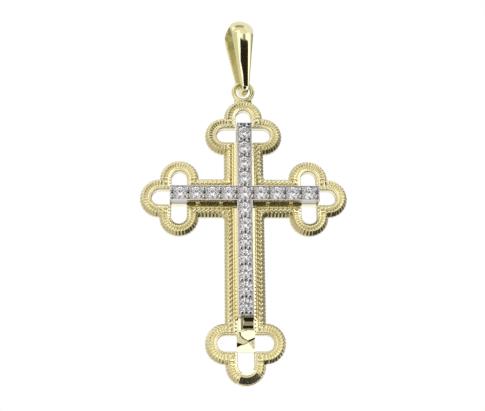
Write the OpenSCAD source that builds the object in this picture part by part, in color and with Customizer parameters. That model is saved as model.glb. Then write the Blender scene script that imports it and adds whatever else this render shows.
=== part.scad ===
// Budded cross pendant on a tapered bail. Sizes in millimetres.
// X runs to the wearer's left, Y away from the viewer and Z up.
// The origin is the place inside the bail's top where the chain sits.

/* [Cross] */
// Width of the arms over both borders
arm_w = 4.95; // [4.9:0.05:5.2]
// Width of the border round a slot
border_w = 1.45; // [1.35:0.05:1.5]
// Width of the slots and of the square between them
slot_w = 1.95; // [1.9:0.05:2.1]
// From the middle of a budded end to the middle of a slot's round tip
slot_reach = 2.4; // [2.3:0.05:2.6]
// Metal left between two neighbouring slots, measured along the arm
corner_web = 0.1; // [0.08:0.02:0.2]
// From the crossing to the middle of the left or right end
side_reach = 8; // [8:0.1:9]
// From the crossing to the middle of the top end
top_reach = 8.15; // [8:0.05:9]
// From the crossing to the middle of the foot's end
foot_reach = 18.1; // [18:0.1:20]

/* [Thickness] */
// Thickness of the cross inside its border
floor_t = 1.3; // [1.2:0.05:1.5]
// Thickness at the outer edge
edge_t = 0.45; // [0.3:0.05:0.6]
// Width of the slope from the outer edge up to the border's crest
slope_w = 0.45; // [0.4:0.05:0.5]
// Width of the crest that runs along the border
crest_w = 0.4; // [0.35:0.05:0.45]
// Height of the crest over the floor
crest_h = 0.2; // [0.1:0.05:0.3]
// How far the cross's back lies behind the ring's middle plane
back_y = 0.95; // [0.9:0.05:1.1]

/* [Stones] */
// Diameter of the round stones
stone_d = 1.7; // [1.6:0.05:1.7]
// Depth of the girdles below the bar's top
girdle_sink = 0.08; // [0.04:0.02:0.14]
// Distance from stone to stone
stone_pitch = 1.95; // [1.95:0.05:2]
// Length of the crossing's own cell
centre_cell = 2; // [1.95:0.05:2.1]
// Stones on each of the three short arms
short_arm_stones = 4; // [4:1:4]
// Stones on the long lower arm
long_arm_stones = 7; // [7:1:7]

/* [Setting] */
// Width of the white bars that hold the stones
bar_w = 1.84; // [1.8:0.02:1.9]
// Height of the bars' top over the back of the cross
bar_top = 2.9; // [2.8:0.05:3]
// Metal beyond the last row of beads
bar_end = 0.3; // [0.25:0.05:0.35]
// Radius of the beads that hold the stones
bead_r = 0.24; // [0.2:0.02:0.26]
// How far the beads stand out of the bar
bead_rise = 0.14; // [0.08:0.02:0.18]
// Distance of the two beads of a pair from the bar's middle line
bead_side = 0.47; // [0.45:0.01:0.5]

/* [Ring] */
// Radius of the ring's wire
ring_wire_r = 0.29; // [0.28:0.01:0.3]
// Radius of the ring from its centre to the middle of the wire
ring_r = 1.17; // [1.16:0.01:1.2]
// How far the ring's centre stands above the edge of the top lobe
ring_rise = 1.05; // [1:0.05:1.15]
// Width of the solder under the ring where it meets the lobe
solder_w = 2.3; // [2:0.1:2.5]
// Width of the solder where it meets the ring
solder_top_w = 1.6; // [1.4:0.1:1.8]

/* [Bail] */
// Height of the bail above the wire that it holds
bail_h = 8.5; // [8:0.1:9]
// Outer radius of the bail's top, seen from the side
bail_top_r = 2.3; // [2.2:0.05:2.5]
// Outer radius of the bail's lower bend, seen from the side
bail_foot_r = 1.25; // [1.2:0.05:1.3]
// Depth of the bail's lowest point below the wire that it holds
bail_drop = 1.75; // [1.7:0.01:1.78]
// Thickness of the band at its top
bail_t = 0.85; // [0.75:0.05:0.9]
// Radius of the hollow round the ring's wire
bail_seat_r = 0.76; // [0.74:0.01:0.8]
// Width of the band near its top
bail_top_w = 3; // [2.8:0.1:3]
// Width of the band at its lowest point
bail_foot_w = 0.8; // [0.7:0.05:0.9]
// Turn of the bail about the upright
bail_yaw = 13; // [5:1:15]
// Lean of the bail's top to the viewer's left
bail_lean = 4; // [0:1:5]

/* [Hidden] */
$fn = 64;
// Gap between pieces that are set or soldered on each other
gap = 0.04;
// Extra length of a cutting shape past the surface that it cuts
past = 0.5;

lobe_r = slot_w / 2 + border_w;
lobe_top = top_reach + slot_reach + lobe_r;
seat_z = (bail_h - bail_t) / cos(bail_lean);
pivot_z = -seat_z;
ring_z = pivot_z - ring_r;
cross_z = ring_z - ring_rise - lobe_top;

// Proportions of a round brilliant, as parts of its diameter
crown_h = 0.15 * stone_d;
girdle_h = 0.03 * stone_d;
pavilion_h = 0.43 * stone_d;
table_r = 0.28 * stone_d;
culet_r = 0.03 * stone_d;
// Height of the girdle's upper edge over the back of the cross
girdle_z = bar_top - girdle_sink;

// Clearance between a stone and its seat, and radius of the hole under it
seat_clear = 0.03;
seat_hole_r = 0.5;

bar_base = floor_t + gap;
bead_z = bar_top + bead_rise - bead_r;

stone_count = 3 * short_arm_stones + long_arm_stones + 1;
upright_count = short_arm_stones + long_arm_stones + 1;

function stone_name(i) = str("stone_", i < 10 ? "0" : "", i);

// Distance from the crossing to stone number k of an arm, and to the bead row that follows it
function stone_at(k) = k == 0 ? 0 : sign(k) * (centre_cell / 2 + stone_pitch * (abs(k) - 0.5));
function row_at(k) = centre_cell / 2 + stone_pitch * k;

// Place of stone i: down the upright first, then along the crossbar from left to right
function crossbar_step(n) = n < short_arm_stones ? n - short_arm_stones : n - short_arm_stones + 1;
function stone_place(i) = i <= upright_count
    ? [0, stone_at(short_arm_stones + 1 - i)]
    : [stone_at(crossbar_step(i - upright_count - 1)), 0];

// The arms: turn from upward, reach of their ends and number of stones
ARMS = [
    [0, top_reach, short_arm_stones],
    [90, side_reach, short_arm_stones],
    [180, foot_reach, long_arm_stones],
    [270, side_reach, short_arm_stones],
];

// Stands a shape drawn flat, with its height as thickness, against the back plane of the cross
module on_cross() {
    translate([0, back_y, cross_z]) rotate([90, 0, 0]) children();
}

// Half of the border's section: width across, height over the back
function section(half) = [
    [0, 0],
    [half, 0],
    [half, edge_t],
    [half - slope_w, floor_t],
    [0, floor_t],
];

function whole_section(half) = concat(
    section(half),
    [for (i = [3, 2, 1]) [-section(half)[i][0], section(half)[i][1]]]
);

// A straight stretch along the second axis, from its start to its end
module stretch(half, from, to) {
    translate([0, to, 0]) rotate([90, 0, 0])
        linear_extrude(height = to - from) polygon(whole_section(half));
}

module round_tip(reach) {
    translate([0, reach, 0]) rotate_extrude() polygon(section(lobe_r));
}

module lobe() {
    stretch(lobe_r, 0, slot_reach);
    round_tip(slot_reach);
}

// Outline of the whole cross, drawn in from its edge
module outline(inset) {
    arm = arm_w / 2 - inset;
    bud = lobe_r - inset;
    for (a = ARMS) rotate(a[0]) {
        translate([-arm, 0]) square([2 * arm, a[1]]);
        translate([0, a[1]]) for (turn = [-90, 0, 90]) rotate(turn) {
            translate([-bud, 0]) square([2 * bud, slot_reach]);
            translate([0, slot_reach]) circle(r = bud);
        }
    }
}

module crest() {
    translate([0, 0, floor_t - gap]) linear_extrude(height = crest_h + gap) difference() {
        outline(slope_w);
        outline(slope_w + crest_w);
    }
}

module slot() {
    half = slot_w / 2;
    start = half + corner_web;
    translate([0, 0, -past]) linear_extrude(height = bar_top + past) {
        translate([-half, start]) square([slot_w, slot_reach - start]);
        translate([0, slot_reach]) circle(r = half);
    }
}

module slots() {
    for (a = ARMS) rotate(a[0]) translate([0, a[1], 0])
        for (turn = [-90, 0, 90]) rotate(turn) slot();
}

// Solder that runs from the ring down onto the top lobe
module solder_saddle() {
    low = lobe_top - slope_w;
    high = lobe_top + ring_rise - ring_r + ring_wire_r;
    translate([0, 0, back_y - ring_wire_r]) linear_extrude(height = 2 * ring_wire_r)
        polygon([
            [-solder_w / 2, low],
            [solder_w / 2, low],
            [solder_top_w / 2, high],
            [-solder_top_w / 2, high],
        ]);
}

module ring() {
    translate([0, 0, ring_z]) rotate([90, 0, 0])
        rotate_extrude() translate([ring_r, 0]) circle(r = ring_wire_r);
}

module ring_hole() {
    translate([0, lobe_top + ring_rise, 0]) cylinder(h = bar_top, r = ring_r);
}

module cross_frame() {
    color("#c9bc72") {
        on_cross() difference() {
            union() {
                for (a = ARMS) rotate(a[0]) {
                    stretch(arm_w / 2, 0, a[1]);
                    translate([0, a[1], 0]) for (turn = [-90, 0, 90]) rotate(turn) lobe();
                }
                crest();
                difference() {
                    solder_saddle();
                    ring_hole();
                }
            }
            slots();
        }
        ring();
    }
}

// Cutter for one stone's seat, standing on the girdle's upper edge
module seat() {
    r = stone_d / 2 + seat_clear;
    rotate_extrude() polygon([
        [0, -bar_top],
        [seat_hole_r, -bar_top],
        [seat_hole_r, -girdle_h - pavilion_h * (1 - seat_hole_r / r) - seat_clear],
        [r, -girdle_h - seat_clear],
        [r, past],
        [0, past],
    ]);
}

// The two beads of one row across an arm
module bead_row(at) {
    for (side = [-1, 1]) translate([side * bead_side, at, bead_z]) sphere(r = bead_r);
}

module setting() {
    color("#c8c8cc") on_cross() difference() {
        union() {
            for (a = ARMS) rotate(a[0]) {
                translate([-bar_w / 2, 0, bar_base])
                    cube([bar_w, row_at(a[2]) + bar_end, bar_top - bar_base]);
                for (k = [0:a[2]]) bead_row(row_at(k));
            }
        }
        for (i = [1:stone_count])
            translate([stone_place(i)[0], stone_place(i)[1], girdle_z]) seat();
    }
}

// A round brilliant, turned, with its crown forward
module stone(i) {
    r = stone_d / 2;
    color("#e8ecf4") on_cross() translate([stone_place(i)[0], stone_place(i)[1], girdle_z])
        rotate_extrude() polygon([
            [0, -girdle_h - pavilion_h],
            [culet_r, -girdle_h - pavilion_h],
            [r, -girdle_h],
            [r, 0],
            [table_r, crown_h],
            [0, crown_h],
        ]);
}

// Two balls and the cone that touches both, as one body of revolution about the upright
module teardrop(low_z, low_r, high_z, high_r) {
    slant = asin((high_r - low_r) / (high_z - low_z));
    base = low_z - low_r * sin(slant);
    top = high_z - high_r * sin(slant);
    translate([0, 0, low_z]) sphere(r = low_r);
    translate([0, 0, high_z]) sphere(r = high_r);
    translate([0, 0, base])
        cylinder(h = top - base, r1 = low_r * cos(slant), r2 = high_r * cos(slant));
}

// The hollow of the bail, a long rounded opening seen from the side
module bail_hollow() {
    high_r = bail_top_r - bail_t;
    high_z = bail_h - bail_top_r;
    slant = asin((high_r - bail_seat_r) / high_z);
    rotate([90, 0, 90]) linear_extrude(height = 2 * bail_top_w, center = true) {
        circle(r = bail_seat_r);
        translate([0, high_z]) circle(r = high_r);
        polygon([
            [-bail_seat_r * cos(slant), -bail_seat_r * sin(slant)],
            [bail_seat_r * cos(slant), -bail_seat_r * sin(slant)],
            [high_r * cos(slant), high_z - high_r * sin(slant)],
            [-high_r * cos(slant), high_z - high_r * sin(slant)],
        ]);
    }
}

// The band seen from the front: tapered, with a round top
module bail_front() {
    half = bail_top_w / 2;
    low = bail_foot_w / 2;
    rotate([90, 0, 0]) linear_extrude(height = 4 * bail_top_r, center = true) {
        translate([0, bail_h - half]) circle(r = half);
        polygon([
            [-low, -bail_drop],
            [low, -bail_drop],
            [half, bail_h - half],
            [-half, bail_h - half],
        ]);
    }
}

module bail() {
    color("#d8cf8c") translate([0, 0, pivot_z]) rotate([0, 0, bail_yaw]) rotate([0, -bail_lean, 0])
        difference() {
            intersection() {
                teardrop(bail_foot_r - bail_drop, bail_foot_r, bail_h - bail_top_r, bail_top_r);
                bail_front();
            }
            bail_hollow();
        }
}

bail();
cross_frame();
setting();
for (i = [1:stone_count])
    stone(i);
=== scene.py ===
"""Looks of a budded cross pendant with a row of round stones, hanging from a tapered bail.

Sizes are in millimetres in the plane of the cross, with heights above its back, and place() turns
them into the frame's metres. The bail is worked out around the pin that it swings on.
"""

import math
from collections import namedtuple
from itertools import product

import bmesh
import bpy
import numpy as np
from mathutils import Matrix, Vector


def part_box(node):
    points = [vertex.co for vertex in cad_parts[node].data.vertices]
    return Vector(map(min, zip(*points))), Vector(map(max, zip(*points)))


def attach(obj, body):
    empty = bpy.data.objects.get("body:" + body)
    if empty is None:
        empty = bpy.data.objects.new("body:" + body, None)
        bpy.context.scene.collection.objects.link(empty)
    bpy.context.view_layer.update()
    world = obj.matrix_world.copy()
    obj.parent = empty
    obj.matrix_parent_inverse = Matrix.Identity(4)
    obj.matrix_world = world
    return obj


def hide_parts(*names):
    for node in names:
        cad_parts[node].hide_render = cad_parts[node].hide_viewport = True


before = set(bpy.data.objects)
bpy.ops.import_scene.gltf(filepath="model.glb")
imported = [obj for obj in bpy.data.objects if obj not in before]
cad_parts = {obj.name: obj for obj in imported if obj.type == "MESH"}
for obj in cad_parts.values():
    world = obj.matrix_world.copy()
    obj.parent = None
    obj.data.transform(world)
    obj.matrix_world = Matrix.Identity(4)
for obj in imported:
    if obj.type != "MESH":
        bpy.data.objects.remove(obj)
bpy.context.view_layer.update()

MM = 0.001

# The cross: widths, reaches of its four ends, and thickness
ARM_W = 4.95
BORDER_W = 1.45
SLOT_W = 1.95
SLOT_REACH = 2.4
CORNER_WEB = 0.1
SIDE_REACH = 8.0
TOP_REACH = 8.15
FOOT_REACH = 17.95
FOOT_SLOT_REACH = 2.55
FLOOR_T = 1.3
CORNER_FILLET = 0.3

# The setting and its stones
STONE_D = 1.7
STONE_PITCH = 1.95
CENTRE_CELL = 2.0
BAR_W = 1.84
BAR_TOP = 2.9
BAR_END = 0.3
GIRDLE_SINK = 0.08
BEAD_SIDE = 0.47
SHORT_ARM_STONES = 4
LONG_ARM_STONES = 7

# The ring and its solder
RING_R = 1.17
RING_WIRE_R = 0.29
RING_RISE = 1.05
SOLDER_W = 2.34
SOLDER_TOP_W = 2.1
SOLDER_THICK_SHARE = 0.95
SOLDER_SINK = 0.34
RING_SATIN = 0.6

# The bail, with its lean toward the side and its turn about the upright in degrees
BAIL_H = 8.5
BAIL_TOP_R = 2.3
BAIL_FOOT_R = 1.25
BAIL_DROP = 1.75
BAIL_T = 0.85
BAIL_SEAT_R = 0.76
BAIL_TOP_W = 3.0
BAIL_FOOT_W = 0.8
BAIL_LEAN = 4.0
BAIL_YAW = 13.0

# Worked out from the sizes above
LOBE_R = SLOT_W / 2 + BORDER_W
HALF_ARM = ARM_W / 2
HALF_SLOT = SLOT_W / 2
HALF_BAR = BAR_W / 2
HALF_CELL = CENTRE_CELL / 2
LOBE_TOP = TOP_REACH + SLOT_REACH + LOBE_R
RING_UP = LOBE_TOP + RING_RISE
GIRDLE_Z = BAR_TOP - GIRDLE_SINK
BAR_BASE = FLOOR_T - 0.21

# Worked out from the frame: the back of the cross, the middle of its crossbar, and the pin in the
# top of the ring that the bail holds
BACK_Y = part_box("cross_frame")[1].y / MM
CROSS_Z = (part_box("stone_05")[0].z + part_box("stone_05")[1].z) / 2 / MM
PIVOT_Z = CROSS_Z + LOBE_TOP + RING_RISE + RING_R

# The arms of the cross: turn from upward, reach of the end, number of stones
ARMS = [
    (0, TOP_REACH, SHORT_ARM_STONES),
    (90, SIDE_REACH, SHORT_ARM_STONES),
    (180, FOOT_REACH, LONG_ARM_STONES),
    (270, SIDE_REACH, SHORT_ARM_STONES),
]
FOOT_TURN = 180


# Placing and mesh helpers


def place(points):
    """Points (x, up, height over the back) of the cross, as points of the frame in metres."""
    p = np.asarray(points, float).reshape(-1, 3)
    return np.stack([p[:, 0], BACK_Y - p[:, 2], CROSS_Z + p[:, 1]], axis=1) * MM


def turned(points, degrees):
    """Points (x, up, height) turned in the cross's plane, counter-clockwise from the front."""
    p = np.array(points, float).reshape(-1, 3)
    c, s = math.cos(math.radians(degrees)), math.sin(math.radians(degrees))
    return np.stack([c * p[:, 0] - s * p[:, 1], s * p[:, 0] + c * p[:, 1], p[:, 2]], axis=1)


def full_turn(count):
    """Angles evenly round a circle."""
    return np.linspace(0, 2 * math.pi, count, endpoint=False)


def row_at(k):
    """Distance from the crossing to the row of beads after stone k of an arm."""
    return HALF_CELL + STONE_PITCH * k


def stone_at(k):
    """Distance from the crossing to stone k of an arm."""
    return math.copysign(HALF_CELL + STONE_PITCH * (abs(k) - 0.5), k) if k else 0.0


# Angles in degrees above which edges are sharp: as a rule, and on pieces with only sharp edges
EDGE_SHARP = 30.0
FACETED = 0.0


class Shape:
    """Vertices and faces gathered from closed islands, with each vertex's share of painted shade
    and satin.
    """

    def __init__(self):
        self.verts = []
        self.faces = []
        self.shade_and_satin_shares = []
        self.count = 0

    def add(self, verts, faces, shade_and_satin_shares=None):
        """Adds a closed island, and each of its vertices' share of painted shade and satin."""
        verts = np.asarray(verts, float).reshape(-1, 3)
        self.verts.append(verts)
        self.shade_and_satin_shares.append(np.zeros(len(verts)) if shade_and_satin_shares is None else shade_and_satin_shares)
        self.faces.extend([tuple(i + self.count for i in f) for f in faces])
        self.count += len(verts)

    def placed_tool(self):
        """A plain object of the gathered islands, placed, for boolean()."""
        return tool_piece(place(np.concatenate(self.verts)), self.faces)

    def piece(self, name, material, sharp_deg=EDGE_SHARP):
        """A finished piece of the gathered and placed islands."""
        mesh = bpy.data.meshes.new(name)
        mesh.from_pydata(np.concatenate(self.verts).tolist(), [], self.faces)
        # Each vertex's share of painted shade and satin, kept as an attribute that the materials
        # read
        depth = mesh.attributes.new("shade_and_satin_share", "FLOAT", "POINT")
        depth.data.foreach_set("value", np.concatenate(self.shade_and_satin_shares).astype(np.float32))
        return finish_piece(name, mesh, material, sharp_deg)


def linked(name, data):
    """A new object of the scene."""
    obj = bpy.data.objects.new(name, data)
    bpy.context.scene.collection.objects.link(obj)
    return obj


def outward_faces(mesh):
    """The mesh for editing, with its faces turned outward."""
    bm = bmesh.new()
    bm.from_mesh(mesh)
    bmesh.ops.recalc_face_normals(bm, faces=bm.faces)
    return bm


def finish_piece(name, mesh, material, sharp_deg):
    """Turns a mesh's faces outward, sets its material and its edges sharp above an angle."""
    bm = outward_faces(mesh)
    limit = math.radians(sharp_deg)
    for edge in bm.edges:
        edge.smooth = len(edge.link_faces) == 2 and edge.calc_face_angle(0.0) < limit
    for face in bm.faces:
        face.smooth = sharp_deg > 0
    bm.to_mesh(mesh)
    bm.free()
    mesh.materials.clear()
    mesh.materials.append(material)
    mesh.polygons.foreach_set("material_index", [0] * len(mesh.polygons))
    return linked(name, mesh)


def tool_piece(verts, faces):
    """A plain object of placed vertices, for boolean()."""
    mesh = bpy.data.meshes.new("tool")
    mesh.from_pydata(verts.tolist(), [], faces)
    bm = outward_faces(mesh)
    bm.to_mesh(mesh)
    bm.free()
    return linked("tool", mesh)


def boolean(obj, tool, operation):
    """Cuts a tool out of an object, or joins it on, and deletes the tool."""
    step = obj.modifiers.new(operation, "BOOLEAN")
    step.operation = operation
    step.solver = "MANIFOLD"
    step.object = tool
    graph = bpy.context.evaluated_depsgraph_get()
    mesh = bpy.data.meshes.new_from_object(obj.evaluated_get(graph))
    obj.modifiers.clear()
    obj.data = mesh
    bpy.data.objects.remove(tool)


def loft_faces(rings, size):
    """Faces of a tube of equal rings of vertices, with a cap at both ends."""
    faces = []
    for i in range(rings - 1):
        for j in range(size):
            k = (j + 1) % size
            faces.append((i * size + j, i * size + k, (i + 1) * size + k, (i + 1) * size + j))
    faces.append(tuple(range(size)))
    faces.append(tuple(range((rings - 1) * size, rings * size)))
    return faces


def ring_faces(rings, size):
    """Faces of a tube of equal rings of vertices that closes on itself."""
    faces = []
    for i in range(rings):
        for j in range(size):
            k, n = (j + 1) % size, (i + 1) % rings
            faces.append((i * size + j, i * size + k, n * size + k, n * size + j))
    return faces


def prism(outline, low, high):
    """Vertices and faces of a flat outline drawn up from one height to another."""
    verts = [(x, y, low) for x, y in outline] + [(x, y, high) for x, y in outline]
    return verts, loft_faces(2, len(outline))


def box_island(x0, x1, y0, y1, z0, z1):
    """Vertices and faces of a box between two corners."""
    return prism([(x0, y0), (x1, y0), (x1, y1), (x0, y1)], z0, z1)


def turned_solid(profile, centre, sides):
    """A body of revolution on the cross: profile is a list of (radius, height)."""
    turn = full_turn(sides)
    rings = []
    for r, h in profile:
        x, up = centre[0] + r * np.cos(turn), centre[1] + r * np.sin(turn)
        rings.append(np.stack([x, up, np.full(sides, h)], axis=1))
    return np.concatenate(rings), loft_faces(len(profile), sides)


# Materials

# The fine unevenness of the metals: detail of its noise, the stretch of it that sets the
# roughness, the darkest tint, and the strength of its relief
GRAIN_DETAIL = 3.0
GRAIN_RANGE = (0.3, 0.7)
DARK_TINT = 0.93
RELIEF_STRENGTH = 0.5


def new_material(name):
    """A material with nodes, its nodes and its links."""
    material = bpy.data.materials.new(name)
    material.use_nodes = True
    return material, material.node_tree.nodes, material.node_tree.links


def metal(name, colour, rough, grain, relief, shade_and_satin=None, dull_rough=None):
    """A metal with a fine uneven surface, and with a darker colour and a roughness mixed in by
    share: painted shade on the milled and white gold, a satin finish on the polished gold.

    rough is the least and the most roughness, grain the unevenness's fineness, relief its depth.
    """
    material, nodes, links = new_material(name)
    shader = nodes["Principled BSDF"]
    shader.inputs["Metallic"].default_value = 1.0
    coords = nodes.new("ShaderNodeTexCoord")
    noise = nodes.new("ShaderNodeTexNoise")
    noise.inputs["Scale"].default_value = grain
    noise.inputs["Detail"].default_value = GRAIN_DETAIL
    links.new(coords.outputs["Object"], noise.inputs["Vector"])
    roughness = nodes.new("ShaderNodeMapRange")
    ends = ("From Min", "From Max", "To Min", "To Max")
    for end, value in zip(ends, (*GRAIN_RANGE, *rough)):
        roughness.inputs[end].default_value = value
    links.new(noise.outputs["Fac"], roughness.inputs["Value"])
    rough_out = roughness.outputs["Result"]
    tint = nodes.new("ShaderNodeMix")
    tint.data_type = "RGBA"
    tint.inputs["A"].default_value = (*colour, 1.0)
    tint.inputs["B"].default_value = (*[c * DARK_TINT for c in colour], 1.0)
    links.new(noise.outputs["Fac"], tint.inputs["Factor"])
    colour_out = tint.outputs["Result"]
    # The darker colour mixed in by each vertex's share: painted shade on the milled and the white
    # gold, the satin colour on the polished gold
    if shade_and_satin:
        cut = nodes.new("ShaderNodeAttribute")
        cut.attribute_name = "shade_and_satin_share"
        shade = nodes.new("ShaderNodeMix")
        shade.data_type = "RGBA"
        shade.clamp_factor = True
        shade.inputs["B"].default_value = (*shade_and_satin, 1.0)
        links.new(cut.outputs["Fac"], shade.inputs["Factor"])
        links.new(colour_out, shade.inputs["A"])
        colour_out = shade.outputs["Result"]
    if dull_rough:
        satin = nodes.new("ShaderNodeMix")
        satin.inputs["B"].default_value = dull_rough
        links.new(cut.outputs["Fac"], satin.inputs["Factor"])
        links.new(rough_out, satin.inputs["A"])
        rough_out = satin.outputs["Result"]
    links.new(rough_out, shader.inputs["Roughness"])
    links.new(colour_out, shader.inputs["Base Color"])
    bumps = nodes.new("ShaderNodeBump")
    bumps.inputs["Strength"].default_value = RELIEF_STRENGTH
    bumps.inputs["Distance"].default_value = relief * MM
    links.new(noise.outputs["Fac"], bumps.inputs["Height"])
    links.new(bumps.outputs["Normal"], shader.inputs["Normal"])
    return material


def stone_material():
    """A clear stone of high refraction."""
    material, nodes, _ = new_material("clear_stone")
    shader = nodes["Principled BSDF"]
    shader.inputs["Base Color"].default_value = (0.8, 0.79, 0.84, 1.0)
    shader.inputs["Roughness"].default_value = 0.0
    shader.inputs["IOR"].default_value = 2.15
    shader.inputs["Transmission Weight"].default_value = 1.0
    return material


POLISHED = metal(
    "polished_gold", colour=(0.85, 0.8, 0.51), rough=(0.04, 0.1), grain=900.0, relief=0.001,
    shade_and_satin=(0.8, 0.75, 0.42), dull_rough=0.4,
)
# The milled gold's darker colour is painted shade: in the milling's grooves, on its outer edge, on
# the lobes' inner rim and on the walls that carry the bars
MILLED = metal(
    "milled_gold", colour=(0.98, 0.92, 0.63), rough=(0.12, 0.22), grain=4000.0, relief=0.004,
    shade_and_satin=(0.51, 0.43, 0.19),
)
CUT = metal(
    "diamond_cut_gold", colour=(0.76, 0.74, 0.52), rough=(0.03, 0.06), grain=900.0, relief=0.0005,
)
# The white gold's darker colour is painted shade on the channel's floor between the stones, which
# is also rougher
WHITE = metal(
    "white_gold", colour=(0.6, 0.587, 0.592), rough=(0.1, 0.2), grain=2500.0, relief=0.002,
    shade_and_satin=(0.38, 0.37, 0.38), dull_rough=0.32,
)
# Near-black metal for the discs of painted shade in the pits and the beads' hollows
RECESS_SHADE_PAINT = metal(
    "painted_recess_shade", colour=(0.05, 0.047, 0.05), rough=(0.4, 0.6), grain=2500.0, relief=0.002,
)
STONE = stone_material()


# The milled border

# Distance from the outer edge, height over the back: round the lobes
LOBE_PROFILE = [
    (0.0, 0.45), (0.05, 0.62), (0.3, 1.24), (0.37, 1.42), (0.45, 1.49), (0.55, 1.47), (0.75, 1.4),
    (1.0, 1.28), (1.06, 1.25), (1.1, 1.27), (1.16, 1.25), (1.22, 1.2), (1.38, 1.12), (1.45, 1.02),
]
# The same along the arms
ARM_PROFILE = [
    (0.0, 0.45), (0.05, 0.62), (0.34, 1.2), (0.44, 1.28), (0.52, 1.45), (0.75, 1.49),
    (0.95, 1.43), (1.03, 1.28), (1.06, 1.3), (1.12, 1.3), (1.18, 1.26), (1.6, 1.22),
]
# The same where the foot's tip is polished
POLISHED_PROFILE = [
    (0.0, 0.5), (0.06, 1.06), (0.12, 1.12), (1.0, 1.25),
    (1.06, 1.32), (1.12, 1.32), (1.2, 1.2), (1.6, 1.14),
]
# Each kind of milling: distances from the outer edge where it starts and ends, the width of its
# soft ends, and how deep it cuts
RIB_BAND = (-0.1, 0.38, 0.1)
RIB_DEPTH = 0.09
ROPE_DEPTH = 0.2
NOTCH_BAND = (1.14, 1.42, 0.12)
NOTCH_DEPTH = 0.05
NOTCH_POWER = 1.5
# Along the arms and round the lobes: the profile, the rope's band and slant, the notches' share
ARM_MILLING = (ARM_PROFILE, (0.42, 1.08, 0.12), 0.75, 0.5)
LOBE_MILLING = (LOBE_PROFILE, (0.3, 1.08, 0.12), 0.05, 1.0)
# How much painted shade darkens the grooves of each kind of milling, the outer edge and the inner
# rim of the lobes
EDGE_BAND = (-0.1, 0.38, 0.08)
EDGE_PAINTED_SHADE = 0.32
RIB_PAINTED_SHADE = 0.4
ROPE_PAINTED_SHADE = 0.4
NOTCH_PAINTED_SHADE = 0.1
RIM_START = 1.38
RIM_SOFT = 0.04
RIM_PAINTED_SHADE = 0.3
# Length of a rib or notch and of a turn of the rope on a straight border, their number round half
# a lobe, steps for each of them, and the rope's middle
RIB_PITCH = 0.44
ROPE_PITCH = 0.55
LOBE_REPEATS = 16
STEPS_PER_REPEAT = 8
ROPE_MID = 0.75
# How far a rib's valley lies in from the outer edge, and the bevel of the back
EDGE_SCALLOP = 0.04
BACK_BEVEL = 0.06
BACK_BEVEL_RISE = 0.11
# The arms' and the plate's backs lie a hair in from the lobes', so that no two faces share a plane
ARM_BACK = 0.004
PLATE_BACK = 0.008
# Step along a straight border and number of points across it
SAMPLE = 0.055
ACROSS = 30
# The mitres: width in which the milling fades in, overlap of the borders, and gap at the point
MITRE_FADE = 0.04
MITRE_OVERLAP = 0.03
MITRE_START = 0.03
# Where the foot's tip is polished, in degrees round the lobe: start, end and width of soft ends
TIP_POLISH = (60.0, 148.0, 4.0)
BORDER_SHARP = 50.0


def ribbed(phase):
    """Rounded ribs, one a turn: 1 on top of a rib and 0 in the sharp valley between two."""
    return np.abs(np.cos(math.pi * phase))


def band(u, start, end, soft):
    """1 between two distances and 0 outside, with soft ends."""
    return np.clip((u - start) / soft, 0, 1) * np.clip((end - u) / soft, 0, 1)


# The lines across a stretch of border, each from its outer to its inner end. u_outer and u_inner
# are the ends' distances from the border's outer edge. repeats is how many ribs and notches lie
# before each line, and turns how many turns of the rope. polish is the share of the polished
# profile.
Lines = namedtuple("Lines", "outer inner u_outer u_inner repeats turns on_lobe polish")


def border_height(lines, u):
    """Height and share of painted shade of the surface on every line, at distances u from the outer
    edge.
    """
    profile, rope_band, slant, notch_share = LOBE_MILLING if lines.on_lobe else ARM_MILLING
    twist = lines.turns[:, None] + slant * (u - ROPE_MID) / ROPE_PITCH
    valleys = 1 - ribbed(lines.repeats[:, None])
    ribs = band(u, *RIB_BAND) * valleys
    strands = band(u, *rope_band) * (1 - ribbed(twist))
    notches = notch_share * band(u, *NOTCH_BAND) * valleys**NOTCH_POWER
    mitred = (lines.u_outer > 0)[:, None]
    fade = np.where(mitred, np.clip((u - lines.u_outer[:, None]) / MITRE_FADE, 0, 1), 1.0)
    cut = (RIB_DEPTH * ribs + ROPE_DEPTH * strands + NOTCH_DEPTH * notches) * fade
    # Painted shade: darker in the grooves of the ribs, the rope and the notches, on the outer edge
    # and on the lobes' inner rim
    shade_and_satin = (RIB_PAINTED_SHADE * ribs**2 + ROPE_PAINTED_SHADE * strands**2 + NOTCH_PAINTED_SHADE * notches) * fade
    shade_and_satin = shade_and_satin + EDGE_PAINTED_SHADE * band(u, *EDGE_BAND)
    if lines.on_lobe:
        shade_and_satin = shade_and_satin + RIM_PAINTED_SHADE * np.clip((u - RIM_START) / RIM_SOFT, 0, 1)
    milled = np.interp(u, *zip(*profile)) - cut
    polished = np.interp(u, *zip(*POLISHED_PROFILE))
    share = lines.polish[:, None]
    return milled * (1 - share) + polished * share, shade_and_satin * (1 - share)


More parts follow.
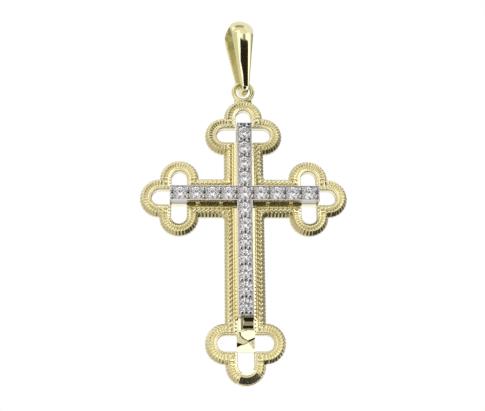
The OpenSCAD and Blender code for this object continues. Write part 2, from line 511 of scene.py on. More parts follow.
def border_island(lines):
    """A closed island of border, swept through its lines, in the plane of the arm or lobe."""
    t = np.linspace(0, 1, ACROSS)[None, :]
    u = lines.u_outer[:, None] * (1 - t) + lines.u_inner * t
    heights, shade_and_satin = border_height(lines, u)
    whole = (lines.u_outer <= 0).astype(float)
    length = np.linalg.norm(lines.inner - lines.outer, axis=1)
    inward = (lines.inner - lines.outer) / length[:, None]
    scallop = EDGE_SCALLOP * (1 - ribbed(lines.repeats)) * whole * (1 - lines.polish)
    outer = lines.outer + inward * scallop[:, None]
    top = outer[:, None, :] * (1 - t[..., None]) + lines.inner[:, None, :] * t[..., None]
    top = np.concatenate([top, heights[..., None]], axis=2)

    def wall(point, h):
        return np.concatenate([point, np.full((len(point), 1), h)], axis=1)[:, None, :]

    inner_bevel = BACK_BEVEL if lines.on_lobe else 0.0
    back = 0.0 if lines.on_lobe else ARM_BACK
    walls = [
        wall(lines.inner, BACK_BEVEL_RISE),
        wall(lines.inner - inward * inner_bevel, back),
        wall(outer + inward * (BACK_BEVEL * whole)[:, None], back),
        wall(outer, BACK_BEVEL_RISE),
    ]
    section = np.concatenate([top, *walls], axis=1)
    shade_and_satin = np.concatenate([shade_and_satin, np.zeros((len(shade_and_satin), len(walls)))], axis=1)
    return section.reshape(-1, 3), loft_faces(*section.shape[:2]), shade_and_satin.reshape(-1)


def lobe_lines(arm_side, slot_reach, is_tip):
    """Lines of a lobe that points up. arm_side is the side, -1 or 1, that meets an arm, or 0."""
    steps = max(2, round((slot_reach - HALF_SLOT) / SAMPLE))
    sides = []
    for side in (1, -1):
        shift = HALF_ARM - LOBE_R if side == arm_side else 0.0
        ups = np.linspace(HALF_SLOT + shift + MITRE_START, slot_reach, steps)
        x_end = np.minimum(ups - shift + MITRE_OVERLAP, LOBE_R)
        outer = np.stack([side * x_end, ups], axis=1)
        inner = np.stack([np.full(steps, side * HALF_SLOT), ups], axis=1)
        sides.append((outer, inner, LOBE_R - x_end, slot_reach - ups))
    theta = np.linspace(0, math.pi, STEPS_PER_REPEAT * LOBE_REPEATS + 1)[1:-1]
    normal = np.stack([np.cos(theta), np.sin(theta)], axis=1)
    centre = np.array([0.0, slot_reach])
    away = np.abs(theta - math.pi / 2) / math.pi
    arc = (centre + normal * LOBE_R, centre + normal * HALF_SLOT, np.zeros(len(theta)), away)
    right, left = sides
    outer, inner, u_outer = (np.concatenate([right[i], arc[i], left[i][::-1]]) for i in range(3))

    def phase(pitch):
        lead = LOBE_REPEATS / 2
        stretches = [lead + right[3] / pitch, away * LOBE_REPEATS, (lead + left[3] / pitch)[::-1]]
        return np.concatenate(stretches)

    polish = np.zeros(len(outer))
    if is_tip:
        polish[steps : steps + len(theta)] = band(np.degrees(theta), *TIP_POLISH)
    return Lines(outer, inner, u_outer, BORDER_W, phase(RIB_PITCH), phase(ROPE_PITCH), True, polish)


def arm_lines(reach, side):
    """Lines of one side of an arm that points up, from the crossing to the lobes at its end."""
    u_bar = HALF_ARM - HALF_BAR
    fillet_mid = HALF_ARM + CORNER_FILLET
    corner = fillet_mid - CORNER_FILLET / math.sqrt(2)
    first = HALF_BAR + MITRE_START
    last = reach - (HALF_BAR - (HALF_ARM - LOBE_R)) - MITRE_START
    ups = np.linspace(first, last, max(2, round((last - first) / SAMPLE)))
    to_end = reach - ups
    rise = fillet_mid - np.clip(ups, corner, fillet_mid)
    bow = np.sqrt(np.maximum(CORNER_FILLET**2 - rise**2, 0))
    x_outer = np.where(ups < fillet_mid, fillet_mid - bow, HALF_ARM)
    x_outer = np.where(ups < corner, ups, x_outer)
    u_outer = np.where(ups < corner, (corner - ups) * u_bar / (corner - HALF_BAR), 0.0)
    near_lobe = to_end < LOBE_R
    x_outer = np.where(near_lobe, to_end + HALF_ARM - LOBE_R + MITRE_OVERLAP, x_outer)
    u_outer = np.where(near_lobe, LOBE_R - to_end - MITRE_OVERLAP, u_outer)
    outer = np.stack([side * x_outer, ups], axis=1)
    inner = np.stack([np.full(len(ups), side * HALF_BAR), ups], axis=1)
    run = SLOT_REACH - (HALF_ARM - LOBE_R) - to_end
    lead = LOBE_REPEATS / 2
    repeats, turns = lead + run / RIB_PITCH, lead + run / ROPE_PITCH
    return Lines(outer, inner, u_outer, u_bar, repeats, turns, False, np.zeros(len(ups)))


def build_borders():
    """The milled borders of the four arms and of the twelve lobes."""
    arms, lobes = Shape(), Shape()
    for turn, reach, _ in ARMS:
        for side in (1, -1):
            verts, faces, shade_and_satin_shares = border_island(arm_lines(reach, side))
            arms.add(place(turned(verts, turn)), faces, shade_and_satin_shares)
        for lobe_turn, arm_side in ((0, 0), (90, 1), (-90, -1)):
            is_tip = turn == FOOT_TURN and lobe_turn == 0
            slot_reach = FOOT_SLOT_REACH if is_tip else SLOT_REACH
            verts, faces, shade_and_satin_shares = border_island(lobe_lines(arm_side, slot_reach, is_tip))
            verts = turned(verts, lobe_turn) + [0, reach, 0]
            lobes.add(place(turned(verts, turn)), faces, shade_and_satin_shares)
    return (
        arms.piece("arm_borders", MILLED, BORDER_SHARP),
        lobes.piece("lobe_borders", MILLED, BORDER_SHARP),
    )


# The metal under the bars, and the solder

# The strip inside the slots, the walls that carry the bars, and the plates between the slots
STRIP_HALF = 0.5
STRIP_BACK = 0.3
STRIP_END_GAP = 0.05
PLATE_LAP = 0.01
PLATE_HALF = HALF_BAR + PLATE_LAP
PLATE_TOP = FLOOR_T - 0.22
STRIP_TOP = PLATE_TOP + 0.1
BEARER_SKIN = 0.015
BEARER_HALF = HALF_BAR + BEARER_SKIN
BEARER_TOP = 1.42
BEARER_BASE = BAR_BASE - 0.01
CRADLE_TOP = 2.6
# How far one wall or plate runs into the next
LAP = 0.03
# The small webs at the plates' corners
WEB_IN = 0.12
WEB_LAP = 0.02
WEB_TOP = PLATE_TOP - PLATE_LAP
# The dots: places along the crossbar, half sizes, height, and the cut of their two poles
DOT_PLACES = (2.85, 5.7)
DOT_SIZE = (0.25, 0.19, 0.24)
DOT_HEIGHT = 1.8
DOT_POLE = 0.02
DOT_STEPS = (13, 24)


def build_floor():
    """The plates between the slots and the strip under the bars, and the walls beside the bars."""
    floor, walls = Shape(), Shape()
    half_square = HALF_SLOT + CORNER_WEB
    edge = PLATE_HALF - WEB_LAP
    corner = [(PLATE_HALF - WEB_IN, edge), (half_square, edge), (half_square, half_square)]

    def add(shape, island, turn, shade_and_satin_shares=None):
        verts, faces = island
        shape.add(place(turned(verts, turn)), faces, shade_and_satin_shares)

    def add_plate(low, high, turn):
        add(floor, box_island(-PLATE_HALF, PLATE_HALF, low, high, PLATE_BACK, PLATE_TOP), turn)

    # The walls that carry the bars get the milled gold's whole darker colour: painted shade under
    # and beside the bars
    def add_wall(x0, x1, low, high, base, top, turn):
        add(walls, box_island(x0, x1, low, high, base, top), turn, np.ones(8))

    add_plate(-PLATE_HALF, PLATE_HALF, 0)
    for turn, reach, stones in ARMS:
        square = reach - half_square
        add_plate(PLATE_HALF, square + PLATE_LAP, turn)
        add_plate(square, reach + PLATE_HALF, turn)
        for side, end in product((-1, 1), repeat=2):
            web = [(side * x, reach + end * y) for x, y in corner]
            add(floor, prism(web, PLATE_BACK, WEB_TOP), turn)
        bar_end = row_at(stones) + BAR_END
        strip_end = bar_end - STRIP_END_GAP
        strip = box_island(-STRIP_HALF, STRIP_HALF, PLATE_HALF, strip_end, STRIP_BACK, STRIP_TOP)
        add(floor, strip, turn)
        slot_start = min(reach - HALF_SLOT, bar_end)
        for side in (-1, 1):
            outer, inner = side * BEARER_HALF, side * (HALF_BAR - LAP)
            add_wall(inner, outer, HALF_BAR, bar_end, BEARER_BASE, BEARER_TOP, turn)
            add_wall(inner, outer, HALF_BAR, slot_start, BEARER_TOP, CRADLE_TOP, turn)
        low, high = bar_end - LAP, bar_end + BEARER_SKIN
        add_wall(-BEARER_HALF, BEARER_HALF, low, high, BEARER_BASE, BEARER_TOP, turn)
    return floor.piece("floor", MILLED), walls.piece("bearer", MILLED)


def build_solder_dots():
    """The small bright dots of solder on both sides of the crossbar."""
    shape = Shape()
    rows, size = DOT_STEPS
    pole = math.pi * np.linspace(DOT_POLE, 1 - DOT_POLE, rows)[:, None]
    turn = full_turn(size)[None, :]
    across = DOT_SIZE[0] * np.sin(pole) * np.cos(turn)
    along = DOT_SIZE[1] * np.sin(pole) * np.sin(turn)
    height = DOT_HEIGHT + DOT_SIZE[2] * np.cos(pole) + 0 * turn
    for x, side_x, side_y in product(DOT_PLACES, (-1, 1), (-1, 1)):
        verts = np.stack([side_x * x + across, side_y * HALF_BAR + along, height], axis=2)
        shape.add(place(verts), loft_faces(rows, size))
    return shape.piece("solder_dots", CUT, BORDER_SHARP)


# The diamond cuts of the foot. Each is an outline across and up from the middle of the foot's
# lobes, the height of its middle, and its rise per millimetre across and up.
FOOT_CUTS = [
    ([(-0.17, 3.6), (0.93, 3.6), (0.93, 2.87), (-0.17, 2.87)], 1.24, (0.0, 0.12)),
    ([(-0.2, 2.87), (0.93, 2.87), (0.93, 2.4), (-0.3, 2.4)], 1.22, (0.05, -0.3)),
    ([(-0.38, 2.4), (0.95, 2.4), (0.98, 2.04), (-0.38, 2.04)], 1.2, (0.0, 0.14)),
    ([(-0.92, 3.6), (-0.6, 3.6), (-0.6, 1.8), (-0.92, 1.8)], 1.16, (0.25, -0.04)),
    ([(-0.6, 3.6), (-0.17, 3.6), (-0.38, 1.8), (-0.6, 1.8)], 1.25, (-0.2, -0.08)),
    ([(-0.38, 2.04), (0.98, 2.04), (1.06, 1.7), (0.13, 1.78), (-0.5, 1.8)], 1.16, (0.1, -0.35)),
    ([(-0.63, 1.55), (0.13, 1.78), (1.06, 1.7), (1.06, 0.86), (0.24, 0.48), (-0.2, 0.72),
      (-0.55, 1.07)], 1.3, (0.07, -0.14)),
    ([(-0.92, 1.8), (-0.5, 1.8), (0.13, 1.78), (-0.63, 1.55), (-0.84, 1.5)], 1.2, (0.3, -0.2)),
    ([(-0.79, 1.5), (-0.63, 1.55), (-0.55, 1.07), (-0.2, 0.72), (-0.29, 0.68), (-0.63, 1.03)],
     1.22, (-0.06, 0.1)),
    ([(-1.07, 1.8), (-0.92, 1.8), (-0.79, 1.5), (-0.63, 1.03), (-0.29, 0.68), (0.24, 0.3),
      (-0.38, 0.0), (-1.07, 0.24)], 1.0, (0.12, -0.4)),
    ([(0.24, 0.48), (1.06, 0.86), (1.06, 0.67), (0.3, 0.3)], 1.18, (-0.05, 0.12)),
    ([(-1.07, 0.24), (-0.38, 0.0), (-1.07, -0.44)], 1.12, (0.02, 0.1)),
    ([(0.3, 0.26), (1.06, 0.62), (1.06, -0.5), (0.72, -0.4), (0.4, 0.1)], 1.12, (-0.35, -0.35)),
    ([(-1.07, -0.44), (-0.38, 0.0), (0.24, 0.3), (0.4, 0.1), (0.86, -1.07), (-1.07, -1.07)],
     1.2, (0.1, -0.24)),
    ([(0.4, 0.1), (0.72, -0.4), (1.06, -0.9), (1.06, -1.07), (0.86, -1.07)], 1.2, (0.2, -0.12)),
]
CUT_FOOT = 0.3
# How far a cut lies nearer the tip than its outline says: outline's place up, and the shift
CUT_SHIFT = [(-1.07, 0.0), (0.0, 0.15), (0.6, 0.2), (1.8, 0.25), (2.1, 0.35)]


def build_foot_cuts():
    """The mirror-bright cuts of the foot, each a plane of its own slant."""
    shape = Shape()
    for outline, height, slant in FOOT_CUTS:
        flat = np.array(outline)
        flat[:, 1] -= np.interp(flat[:, 1], *zip(*CUT_SHIFT))
        rise = (flat - flat.mean(axis=0)) @ np.array(slant)
        top = np.column_stack([flat, height + rise])
        low = np.column_stack([flat, np.full(len(flat), CUT_FOOT)])
        verts = np.concatenate([low, top]) + [0, -FOOT_REACH, 0]
        shape.add(place(verts), loft_faces(2, len(flat)))
    return shape.piece("foot_cuts", CUT, FACETED)


# The ring

RING_STEPS = (96, 24)
SOLDER_STEPS = (33, 24)
# The solder's two ends keep a hair of thickness
SOLDER_END = 0.001
RING_SHARP = 40.0


def ring_wire():
    """Points and faces of the round ring."""
    around, across = RING_STEPS
    a, b = full_turn(around)[:, None], full_turn(across)[None, :]
    radius = RING_R + RING_WIRE_R * np.cos(b)
    height = BACK_Y + RING_WIRE_R * np.sin(b) + 0 * a
    verts = np.stack([radius * np.cos(a), RING_UP + radius * np.sin(a), height], axis=2)
    return verts, ring_faces(around, across)


def ring_solder():
    """Points and faces of the neck of solder between the top lobe and the ring's wire."""
    stations, size = SOLDER_STEPS
    s = np.sin(np.linspace(-0.5, 0.5, stations) * math.pi)[:, None]
    turn = full_turn(size)[None, :]
    share = (1 + np.sin(turn)) / 2
    across = (SOLDER_TOP_W * share + SOLDER_W * (1 - share)) / 2 * s
    arch = LOBE_TOP - LOBE_R + np.sqrt(LOBE_R**2 - across**2) - SOLDER_SINK
    wire = RING_UP - np.sqrt(RING_R**2 - across**2)
    thick = RING_WIRE_R * SOLDER_THICK_SHARE * np.sqrt(1 + SOLDER_END - s**2)
    height = BACK_Y + thick * np.sign(np.cos(turn)) * np.sqrt(np.abs(np.cos(turn)))
    verts = np.stack([across, arch * (1 - share) + wire * share, height], axis=2)
    return verts, loft_faces(stations, size)


def build_ring():
    """The round ring and the solder that carries it on the top lobe."""
    shape = Shape()
    for verts, faces in (ring_wire(), ring_solder()):
        points = place(verts)
        shape.add(points, faces, np.full(len(points), RING_SATIN))
    return shape.piece("ring", POLISHED, RING_SHARP)


# The setting

CHANNEL_HALF = 0.86
CHANNEL_DEPTH = 0.1
CHANNEL_FLOOR = BAR_TOP - CHANNEL_DEPTH
TOOL_TOP = BAR_TOP + 1
# The seats: a hole with a cone above it that holds the stone's girdle
SEAT_R = STONE_D / 2 + 0.006
SEAT_HOLE_R = 0.5
SEAT_PROFILE = [
    (SEAT_HOLE_R, BAR_BASE - 0.2), (SEAT_HOLE_R, GIRDLE_Z - 0.4),
    (SEAT_R, GIRDLE_Z - 0.1), (SEAT_R, TOOL_TOP),
]
# The beads, which stand in the channel with a small hollow in their tops
BEAD_R = 0.29
BEAD_DOME = 0.08
BEAD_TOP = BAR_TOP + 0.13
BEAD_SINK = 0.12
BEAD_STEPS = 9
BEAD_FOOT_SHARE = 0.98
BEAD_TIP_R = 0.01
HOLLOW_R = 0.1
HOLLOW_DEPTH = 0.16
HOLLOW_LOW = BEAD_TOP - HOLLOW_DEPTH
HOLLOW_PROFILE = [(HOLLOW_R * 0.5, HOLLOW_LOW), (HOLLOW_R, BEAD_TOP), (HOLLOW_R, BEAD_TOP + 0.3)]
# The pits between the two beads of a pair
PIT_R = 0.15
PIT_PROFILE = [(PIT_R * 0.6, BAR_TOP - 0.6), (PIT_R, BAR_TOP + 0.5)]
# The dark discs of painted shade in the bottoms of the pits and of the hollows
PIT_DARK = [(PIT_R * 0.7, BAR_TOP - 0.62), (PIT_R * 0.8, BAR_TOP - 0.3)]
HOLLOW_DARK = [(HOLLOW_R * 0.8, HOLLOW_LOW - 0.05), (HOLLOW_R * 0.8, HOLLOW_LOW + 0.05)]
# Sides of each of these round shapes
SEAT_SIDES = 64
BEAD_SIDES = 28
PIT_SIDES = 24
HOLLOW_SIDES = 20
PIT_DARK_SIDES = 20
HOLLOW_DARK_SIDES = 16
# How far over the channel's floor the metal still gets the painted shade
FLOOR_HAIR = 0.01
BAR_SHARP = 35.0


def cross_outline(half, ends):
    """Outline of the bars, from the top arm clockwise, with a half width and the arms' ends."""
    top, left, foot, right = ends
    return [
        (-half, top), (half, top), (half, half), (right, half), (right, -half), (half, -half),
        (half, -foot), (-half, -foot), (-half, -half), (-left, -half), (-left, half), (-half, half),
    ]


def stone_places():
    """Name and place of every stone: down the upright, then along the crossbar."""
    upright = [(0.0, stone_at(k)) for k in range(SHORT_ARM_STONES, -LONG_ARM_STONES - 1, -1)]
    steps = [k for k in range(-SHORT_ARM_STONES, SHORT_ARM_STONES + 1) if k]
    places = upright + [(stone_at(k), 0.0) for k in steps]
    return {f"stone_{i:02d}": p for i, p in enumerate(places, 1)}


def row_places(sides):
    """Places in every row between two stones, at distances to the side of the arm's middle."""
    found = []
    for turn, _, stones in ARMS:
        for k in range(stones + 1):
            row = [(side, row_at(k), 0) for side in sides]
            found.extend(turned(row, turn)[:, :2].tolist())
    return found


STONES = stone_places()
BEADS = row_places((-BEAD_SIDE, BEAD_SIDE))
PITS = row_places((0,))


def bead_profile():
    """Profile of a domed bead that stands on the channel's floor."""
    profile = [(BEAD_R * BEAD_FOOT_SHARE, CHANNEL_FLOOR - BEAD_SINK)]
    for i in range(BEAD_STEPS):
        a = math.pi / 2 * i / BEAD_STEPS
        profile.append((BEAD_R * math.cos(a), BEAD_TOP - BEAD_DOME + BEAD_DOME * math.sin(a)))
    return profile + [(BEAD_TIP_R, BEAD_TOP)]


def repeated(*groups):
    """Islands of groups of turned solids. A group is a profile, its places and its sides."""
    shape = Shape()
    for profile, centres, sides in groups:
        for centre in centres:
            shape.add(*turned_solid(profile, centre, sides))
    return shape


def build_setting():
    """The white bars with their stone seats, thin bright walls and beads."""
    ends = [row_at(stones) + BAR_END for _, _, stones in ARMS]
    verts, faces = prism(cross_outline(HALF_BAR, ends), BAR_BASE, BAR_TOP)
    body = tool_piece(place(verts), faces)
    inner_ends = [end - (HALF_BAR - CHANNEL_HALF) for end in ends]
    channel = cross_outline(CHANNEL_HALF, inner_ends)
    verts, faces = prism(channel, CHANNEL_FLOOR, TOOL_TOP)
    boolean(body, tool_piece(place(verts), faces), "DIFFERENCE")
    seats = repeated((SEAT_PROFILE, STONES.values(), SEAT_SIDES))
    boolean(body, seats.placed_tool(), "DIFFERENCE")
    boolean(body, repeated((bead_profile(), BEADS, BEAD_SIDES)).placed_tool(), "UNION")
    pits = repeated((PIT_PROFILE, PITS, PIT_SIDES), (HOLLOW_PROFILE, BEADS, HOLLOW_SIDES))
    boolean(body, pits.placed_tool(), "DIFFERENCE")
    mesh = body.data
    bpy.data.objects.remove(body)
    # The channel's floor gets painted shade, which fades up the foot of its walls and beads
    floor_y = (BACK_Y - CHANNEL_FLOOR - FLOOR_HAIR) * MM
    shade = mesh.attributes.new("shade_and_satin_share", "FLOAT", "POINT")
    shade.data.foreach_set("value", [float(v.co.y > floor_y) for v in mesh.vertices])
    return finish_piece("setting_bars", mesh, WHITE, BAR_SHARP)


def build_painted_recess_shade():
    """Dark discs of painted shade in the bottoms of the pits between the beads and of the beads'
    hollows.
    """
    dark = repeated((PIT_DARK, PITS, PIT_DARK_SIDES), (HOLLOW_DARK, BEADS, HOLLOW_DARK_SIDES))
    shape = Shape()
    shape.add(place(np.concatenate(dark.verts)), dark.faces)
    return shape.piece("painted_recess_shade_discs", RECESS_SHADE_PAINT)


# The stones

# Shares of the stone's width: radius of its table, and heights of its crown, girdle and pavilion
BRILLIANT_SHARES = (0.28, 0.15, 0.03, 0.43)
# Where the star facets end: share of the way out from the table, and of the crown's height
STAR_OUT = 0.58
STAR_UP = 0.5
# Where the lower facets end: share of the stone's radius, and of the pavilion's height
LOWER_OUT = 0.22
LOWER_DOWN = 0.8


def brilliant(centre):
    """Points and faces of a round brilliant of 57 facets, crown forward, with its girdle."""
    r = STONE_D / 2
    table, crown, girdle, pavilion = (share * STONE_D for share in BRILLIANT_SHARES)
    verts, faces = [], []

    def ring(radius, height, count, half_step=0.0):
        first = len(verts)
        for i in range(count):
            a = 2 * math.pi * (i + half_step) / count
            verts.append((radius * math.cos(a), radius * math.sin(a), height))
        return first

    t = ring(table, crown, 8, 0.5)
    k = ring(table * (1 - STAR_OUT) + r * STAR_OUT, crown * STAR_UP, 8)
    g = ring(r, 0.0, 16)
    b = ring(r, -girdle, 16)
    p = ring(r * LOWER_OUT, -girdle - pavilion * LOWER_DOWN, 8, 0.5)
    c = len(verts)
    verts.append((0.0, 0.0, -girdle - pavilion))
    faces.append(tuple(range(t, t + 8)))
    for i in range(8):
        after, before = (i + 1) % 8, (i - 1) % 8
        faces += [
            (k + i, t + i, t + before),
            (t + i, k + i, g + 2 * i + 1, k + after),
            (k + i, g + 2 * i, g + 2 * i + 1),
            (k + i, g + (2 * i - 1) % 16, g + 2 * i),
            (b + 2 * i, b + 2 * i + 1, p + i),
            (b + 2 * i + 1, b + (2 * i + 2) % 16, p + i),
            (b + 2 * i, p + i, c, p + before),
        ]
    for i in range(16):
        after = (i + 1) % 16
        faces.append((g + i, g + after, b + after, b + i))
    return np.array(verts) + [centre[0], centre[1], GIRDLE_Z], faces


def build_stones():
    """The stones, each a piece of its own in the place of its node."""
    stones = []
    for name, centre in STONES.items():
        verts, faces = brilliant(centre)
        shape = Shape()
        shape.add(place(verts), faces)
        stone = shape.piece(name + "_cut", STONE, FACETED)
        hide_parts(name)
        stones.append(stone)
    return stones


# The bail

# Roundings of the band's outer and inner edges
BAIL_EDGE = 0.16
BAIL_INNER_EDGE = 0.07
# How far out from the hollow the satin finish of the bail's inside fades into the polish
BAIL_SATIN_DEPTH = 0.12
# Middle of the lower circle of the band's front outline
FRONT_LOW = BAIL_FOOT_W / 2 - BAIL_DROP
# Steps round the hollow and round the band
HOLLOW_STEPS = 240
BAND_STEPS = 176
# The search for the band's surface: start out from the hollow, farthest reach, number of halvings
BAND_MIDDLE = 0.3
BAND_REACH = 3.0
HALVINGS = 40
BAIL_SHARP = 60.0


def smooth_max(a, b, blend):
    """The larger of two distances, with their corner rounded."""
    h = np.clip(0.5 + 0.5 * (a - b) / blend, 0, 1)
    return b * (1 - h) + a * h + blend * h * (1 - h)


def drop_distance(across, up, low, low_r, high, high_r):
    """Signed distance from the outline of two circles on the upright and their tangents."""
    b = (low_r - high_r) / (high - low)
    a = math.sqrt(1 - b * b)
    across = np.abs(across)
    z = up - low
    k = -b * across + a * z
    below = np.hypot(across, z) - low_r
    above = np.hypot(across, z - (high - low)) - high_r
    beside = a * across + b * z - low_r
    return np.where(k < 0, below, np.where(k > a * (high - low), above, beside))


def bail_distance(x, y, z, inner_depth):
    """Signed distance from the bail's band: outer body, front outline and inner face."""
    foot = BAIL_FOOT_R - BAIL_DROP
    body = drop_distance(np.hypot(x, y), z, foot, BAIL_FOOT_R, BAIL_H - BAIL_TOP_R, BAIL_TOP_R)
    top_half, foot_half = BAIL_TOP_W / 2, BAIL_FOOT_W / 2
    front = drop_distance(x, z, FRONT_LOW, foot_half, BAIL_H - top_half, top_half)
    outer = smooth_max(body, front, BAIL_EDGE)
    return smooth_max(outer, -inner_depth, BAIL_INNER_EDGE)


def hollow_path(count):
    """Points and outward directions along the bail's hollow, seen from the side."""
    high_r = BAIL_TOP_R - BAIL_T
    high = BAIL_H - BAIL_TOP_R
    slant = math.asin((high_r - BAIL_SEAT_R) / high)
    path = []

    def add_point(angle, radius, up):
        n = (math.cos(angle), math.sin(angle))
        path.append((radius * n[0], up + radius * n[1], *n))

    for angle in np.linspace(-slant, math.pi + slant, count // 3):
        add_point(angle, high_r, high)
    for t in np.linspace(0, 1, count // 5)[1:-1]:
        add_point(math.pi + slant, high_r + (BAIL_SEAT_R - high_r) * t, high * (1 - t))
    for angle in np.linspace(math.pi + slant, 2 * math.pi - slant, count // 4):
        add_point(angle, BAIL_SEAT_R, 0.0)
    for t in np.linspace(0, 1, count // 5)[1:-1]:
        add_point(-slant, BAIL_SEAT_R + (high_r - BAIL_SEAT_R) * t, high * t)
    return np.array(path)


def build_bail():
    """The bail's band, swept round its hollow with a domed outer face and rounded edges."""
    path = hollow_path(HOLLOW_STEPS)
    around = full_turn(BAND_STEPS)
    dx, dd = np.cos(around)[None, :], np.sin(around)[None, :]
    low = np.zeros((len(path), BAND_STEPS))
    high = np.full((len(path), BAND_STEPS), BAND_REACH)
    for _ in range(HALVINGS):
        reach = (low + high) / 2
        x = reach * dx
        depth = BAND_MIDDLE + reach * dd
        y = path[:, 0:1] + depth * path[:, 2:3]
        z = path[:, 1:2] + depth * path[:, 3:4]
        inside = bail_distance(x, y, z, depth) < 0
        low, high = np.where(inside, reach, low), np.where(inside, high, reach)
    verts = np.stack([x, y, z], axis=2).reshape(-1, 3)
    yaw = Matrix.Rotation(math.radians(BAIL_YAW), 3, "Z")
    turn = yaw @ Matrix.Rotation(math.radians(-BAIL_LEAN), 3, "Y")
    verts = (verts @ np.array(turn).T + [0, 0, PIVOT_Z]) * MM
    satin = np.clip(1 - depth / BAIL_SATIN_DEPTH, 0, 1)
    shape = Shape()
    shape.add(verts, ring_faces(len(path), BAND_STEPS), satin.reshape(-1))
    return shape.piece("bail_band", POLISHED, BAIL_SHARP)


# The stage

# The camera: degrees up, to the right and round its line of sight, distance from its target, and
# its lens and sensor
CAMERA_TILT = 16.575
CAMERA_YAW = 3.056
CAMERA_ROLL = -0.635
CAMERA_DISTANCE = 111.99
CAMERA_TARGET = (-0.164, 0.95, CROSS_Z - 0.765)
CAMERA_LENS = 67.083
SENSOR_W = 36.0
# Nearest and farthest that it sees, in metres
CAMERA_CLIP = (0.005, 10.0)


def build_camera():
    """The camera, which looks up at the front of the cross."""
    tilt, yaw, roll = (math.radians(a) for a in (CAMERA_TILT, CAMERA_YAW, CAMERA_ROLL))
    level = math.cos(tilt)
    forward = Vector((math.sin(yaw) * level, math.cos(yaw) * level, math.sin(tilt)))
    right = forward.cross(Vector((0, 0, 1))).normalized()
    up = right.cross(forward)
    right, up = (
        math.cos(roll) * right + math.sin(roll) * up,
        -math.sin(roll) * right + math.cos(roll) * up,
    )
    data = bpy.data.cameras.new("camera")
    data.lens = CAMERA_LENS
    data.sensor_width = SENSOR_W
    data.clip_start, data.clip_end = CAMERA_CLIP
    camera = linked("camera", data)
    spot = (Vector(CAMERA_TARGET) - CAMERA_DISTANCE * forward) * MM
    turn = Matrix((right, up, -forward)).transposed().to_4x4()
    camera.matrix_world = Matrix.Translation(spot) @ turn
    bpy.context.scene.camera = camera


def emission_material(name, colour):
    """A material that shines with one colour."""
    material, nodes, links = new_material(name)
    nodes.remove(nodes["Principled BSDF"])
    light = nodes.new("ShaderNodeEmission")
    light.inputs["Color"].default_value = (*colour, 1.0)
    light.inputs["Strength"].default_value = 1.0
    links.new(light.outputs["Emission"], nodes["Material Output"].inputs["Surface"])
    return material


def hide_from_camera(obj):
    """Stages an object that only reflections see."""
    obj.visible_camera = False
    obj.visible_diffuse = False
    obj.visible_shadow = False


def flat_mesh(name, corners, material):
    """A mesh of one flat face, with its material."""
    mesh = bpy.data.meshes.new(name)
    mesh.from_pydata(corners, [], [tuple(range(len(corners)))])
    mesh.materials.append(material)
    return mesh


def square_corners(half_w, half_h):
    """Corners of a level rectangle round the origin."""
    return [(-half_w, -half_h, 0), (half_w, -half_h, 0), (half_w, half_h, 0), (-half_w, half_h, 0)]


def card(name, centre, toward, size, material):
    """A flat card of a width and a height, facing a point, that only reflections see."""
    corners = square_corners(*(side / 2 * MM for side in size))
    obj = linked(name, flat_mesh(name, corners, material))
    spot, aim = Vector(centre) * MM, Vector(toward) * MM
    facing = (aim - spot).to_track_quat("Z", "Y").to_matrix().to_4x4()
    obj.matrix_world = Matrix.Translation(spot) @ facing
    hide_from_camera(obj)


def flag(name, corners, material):
    """A flat flag of corners in the frame's millimetres, which only reflections see."""
    placed = [tuple(c * MM for c in corner) for corner in corners]
    hide_from_camera(linked(name, flat_mesh(name, placed, material)))


# The dark and the dim flags in front of the bail: place from front to back, and corners across
# and up in the frame
DARK_FLAGS = {
    "dark_by_bail": (-17.0, [
        (0, -0.5), (7, 0), (23.5, 3.6), (23.5, -5.9),
        (1.1, -5.7), (-1.3, -4.5), (-2.8, -3.9), (-0.9, -2.3),
    ]),
    "dark_under_bail": (-8.0, [(0.6, -4.6), (10, -4.8), (10, -9), (0.97, -9.1), (0.33, -7.3)]),
    "dark_by_foot": (-8.0, [(1, -10.5), (6, -10.5), (5.4, -18), (2.5, -18)]),
}
DIM_FLAGS = {"dim_by_bail": (-17.0, [(-40, -9), (-6, -9), (-5, -3), (-4, 5), (-40, 10)])}
# The dim flag beside the bail: place across, and corners from front to back and up
SIDE_FLAG_X = -24.0
SIDE_FLAG = [(-17, -10), (16, -10), (16, 9), (-17, 9)]
DARK = (0.02, 0.016, 0.012)
DIM = (0.78, 0.78, 0.66)
# The dark card at the camera: its shift from the lens, the point that it faces, width and height
LENS_CARD_SHIFT = (8, 0, 0)
LENS_CARD_AIM = (0, 0, -40)
LENS_CARD_SIZE = (70, 64)

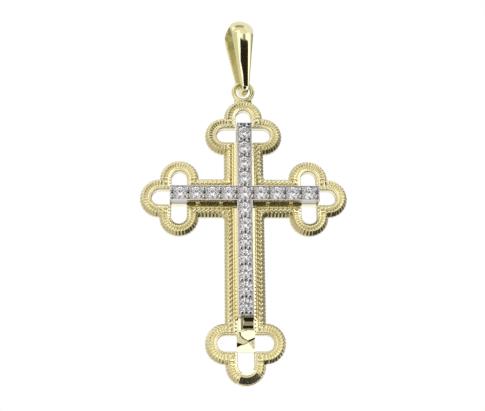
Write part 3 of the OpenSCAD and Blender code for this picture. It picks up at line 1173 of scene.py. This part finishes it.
# The room round the cross, as reflections see it. Each part spans two angles away from straight
# in front of the cross and two angles round that line, counter-clockwise from the cross's right.
# Its brightness and its colour come last.
ROOM_RADIUS = 150.0
ROOM_SOFT = 8.0
ROOM_POLE = 0.5
ROOM_ROWS = 120
ROOM_TURN_STEP = 2
WARM = (1.0, 0.94, 0.76)
COOL = (1.0, 0.99, 0.97)
ROOM = {
    "front_high": ((-10, 22), (0, 180), 1.5, COOL),
    "front_low_left": ((-10, 22), (180, 270), 0.9, COOL),
    "front_low_right": ((-10, 22), (270, 360), 0.1, WARM),
    "right_dip": ((22, 42), (-45, 40), 0.35, WARM),
    "left_lamp": ((22, 42), (90, 215), 1.6, COOL),
    "low_front": ((22, 42), (225, 270), 0.95, WARM),
    "right_lamp": ((42, 70), (-54, 36), 1.6, COOL),
    "top_front": ((42, 62), (36, 216), 0.95, WARM),
    "low_middle": ((42, 62), (216, 290), 0.85, WARM),
    "top_gap": ((62, 82), (72, 108), 0.4, WARM),
    "top_left_lamp": ((62, 82), (108, 144), 1.3, COOL),
    "left_gap": ((62, 82), (144, 200), 0.5, WARM),
    "low_gap": ((62, 82), (216, 330), 0.2, WARM),
    "right_side": ((82, 135), (-20, 36), 0.25, WARM),
    "top_side": ((82, 135), (36, 135), 0.95, COOL),
    "left_side": ((82, 105), (135, 180), 0.8, WARM),
    "low_left_side": ((82, 105), (180, 252), 1.25, COOL),
    "low_right_side": ((82, 105), (252, 350), 0.02, WARM),
    "left_back": ((105, 135), (135, 270), 0.65, WARM),
    "low_back": ((105, 135), (270, 340), 0.05, WARM),
    "high_back": ((135, 190), (0, 120), 0.5, WARM),
}


def turned_into(angle, span):
    """Angles in degrees, brought within half a turn of the middle of a span."""
    middle = (span[0] + span[1]) / 2
    return (angle - middle + 180) % 360 - 180 + middle


def window(value, span):
    """1 inside a span and 0 outside, with soft ends that meet those of the next span."""
    rise = np.clip((value - span[0]) / ROOM_SOFT + 0.5, 0, 1)
    fall = np.clip((span[1] - value) / ROOM_SOFT + 0.5, 0, 1)
    return rise * fall


def build_room():
    """The bright and dim parts of the room, with soft edges, on a ball round the cross."""
    rows = np.radians(np.linspace(ROOM_POLE, 180 - ROOM_POLE, ROOM_ROWS))
    columns = np.radians(np.arange(0, 360, ROOM_TURN_STEP))
    away, turn = np.meshgrid(rows, columns, indexing="ij")
    side = np.sin(away)
    out = np.stack([side * np.cos(turn), -np.cos(away), side * np.sin(turn)], axis=2)
    verts = (ROOM_RADIUS * out + [0, 0, CROSS_Z]).reshape(-1, 3) * MM
    tones = np.ones((*away.shape, 3))
    for off_axis, around, tone, colour in ROOM.values():
        turns = turned_into(np.degrees(turn), around)
        share = (window(np.degrees(away), off_axis) * window(turns, around))[..., None]
        tones = tones * (1 - share) + tone * np.array(colour) * share
    mesh = bpy.data.meshes.new("room")
    mesh.from_pydata(verts.tolist(), [], loft_faces(*away.shape))
    shade = mesh.attributes.new("room_tone", "FLOAT_COLOR", "POINT")
    flat = np.concatenate([tones, np.ones((*away.shape, 1))], axis=2)
    shade.data.foreach_set("color", flat.astype(np.float32).reshape(-1))
    material = emission_material("room_light", (1, 1, 1))
    nodes, links = material.node_tree.nodes, material.node_tree.links
    tones_node = nodes.new("ShaderNodeAttribute")
    tones_node.attribute_name = "room_tone"
    links.new(tones_node.outputs["Color"], nodes["Emission"].inputs["Color"])
    mesh.materials.append(material)
    hide_from_camera(linked("room", mesh))


# The floor far below the cross: its height, half its side in metres, its colour and its roughness
FLOOR_Z = -190.0
FLOOR_HALF = 1.5
FLOOR_COLOUR = (0.96, 0.96, 0.955, 1.0)
FLOOR_ROUGH = 0.6


def build_floor_below():
    """The pale floor of the studio, which reflections don't see."""
    material, nodes, _ = new_material("pale_floor")
    shader = nodes["Principled BSDF"]
    shader.inputs["Base Color"].default_value = FLOOR_COLOUR
    shader.inputs["Roughness"].default_value = FLOOR_ROUGH
    ground = flat_mesh("studio_floor", square_corners(FLOOR_HALF, FLOOR_HALF), material)
    studio_floor = linked("studio_floor", ground)
    studio_floor.location = (0, 0, FLOOR_Z * MM)
    studio_floor.visible_glossy = False


def build_stage():
    """The white world, the floor, the flags, the card at the camera and the room."""
    world = bpy.data.worlds.new("white_room")
    world.use_nodes = True
    background = world.node_tree.nodes["Background"]
    background.inputs["Color"].default_value = (1.0, 1.0, 1.0, 1.0)
    background.inputs["Strength"].default_value = 1.0
    bpy.context.scene.world = world
    build_floor_below()
    dark, dim = emission_material("dark_card", DARK), emission_material("dim_card", DIM)
    for flags, material in ((DARK_FLAGS, dark), (DIM_FLAGS, dim)):
        for name, (place_y, corners) in flags.items():
            flag(name, [(x, place_y, z) for x, z in corners], material)
    flag("dim_beside_bail", [(SIDE_FLAG_X, y, z) for y, z in SIDE_FLAG], dim)
    lens = bpy.context.scene.camera.matrix_world.translation / MM
    card("dark_lens", lens + Vector(LENS_CARD_SHIFT), LENS_CARD_AIM, LENS_CARD_SIZE, dark)
    build_room()
    bpy.context.scene.view_settings.view_transform = "Standard"


build_camera()
build_stage()

arm_borders, lobe_borders = build_borders()
floor, bearer = build_floor()
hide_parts("cross_frame")
gold_pieces = [arm_borders, lobe_borders, floor, bearer]
gold_pieces += [build_solder_dots(), build_foot_cuts(), build_ring()]
cross_pieces = [(piece, "milled_gold") for piece in gold_pieces]
setting = build_setting()
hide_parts("setting")
cross_pieces.append((setting, "white_gold"))
cross_pieces.append((build_painted_recess_shade(), "white_gold"))
cross_pieces.extend((stone, "stone") for stone in build_stones())
for piece, slot in cross_pieces:
    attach(piece, "cross")

bail = build_bail()
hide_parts("bail")
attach(bail, "bail")
